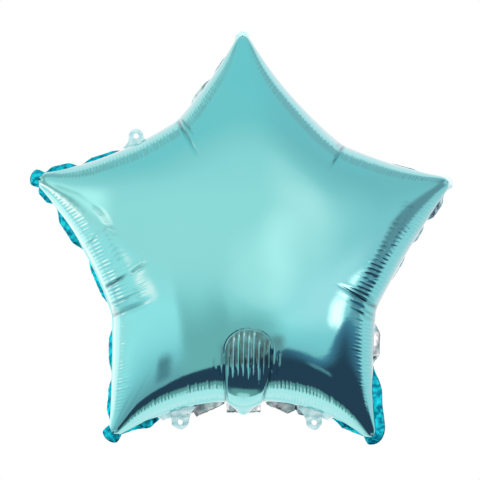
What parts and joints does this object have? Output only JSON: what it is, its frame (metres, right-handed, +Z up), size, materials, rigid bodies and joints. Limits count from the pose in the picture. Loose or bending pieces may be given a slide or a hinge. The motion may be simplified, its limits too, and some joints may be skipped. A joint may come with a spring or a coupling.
{
  "type": "star foil balloon",
  "caption": "Five-pointed star balloon of cyan metallised film, blown up, with a gathered welded seam, a short neck and eyelet tabs.",
  "frame": {"origin": "the foot of the neck, in the plane of the seam, where a tie would go round it", "axes": "+Z up through the top point of the star, +X to the right seen from the front, -Y out of the front face"},
  "size_m": [0.425, 0.1546, 0.416],
  "materials": {
    "film": "mirror-bright vapour-metallised plastic film, tinted cyan"
  },
  "bodies": {
    "root": {"star_balloon": "film"}
  },
  "joints": []
}
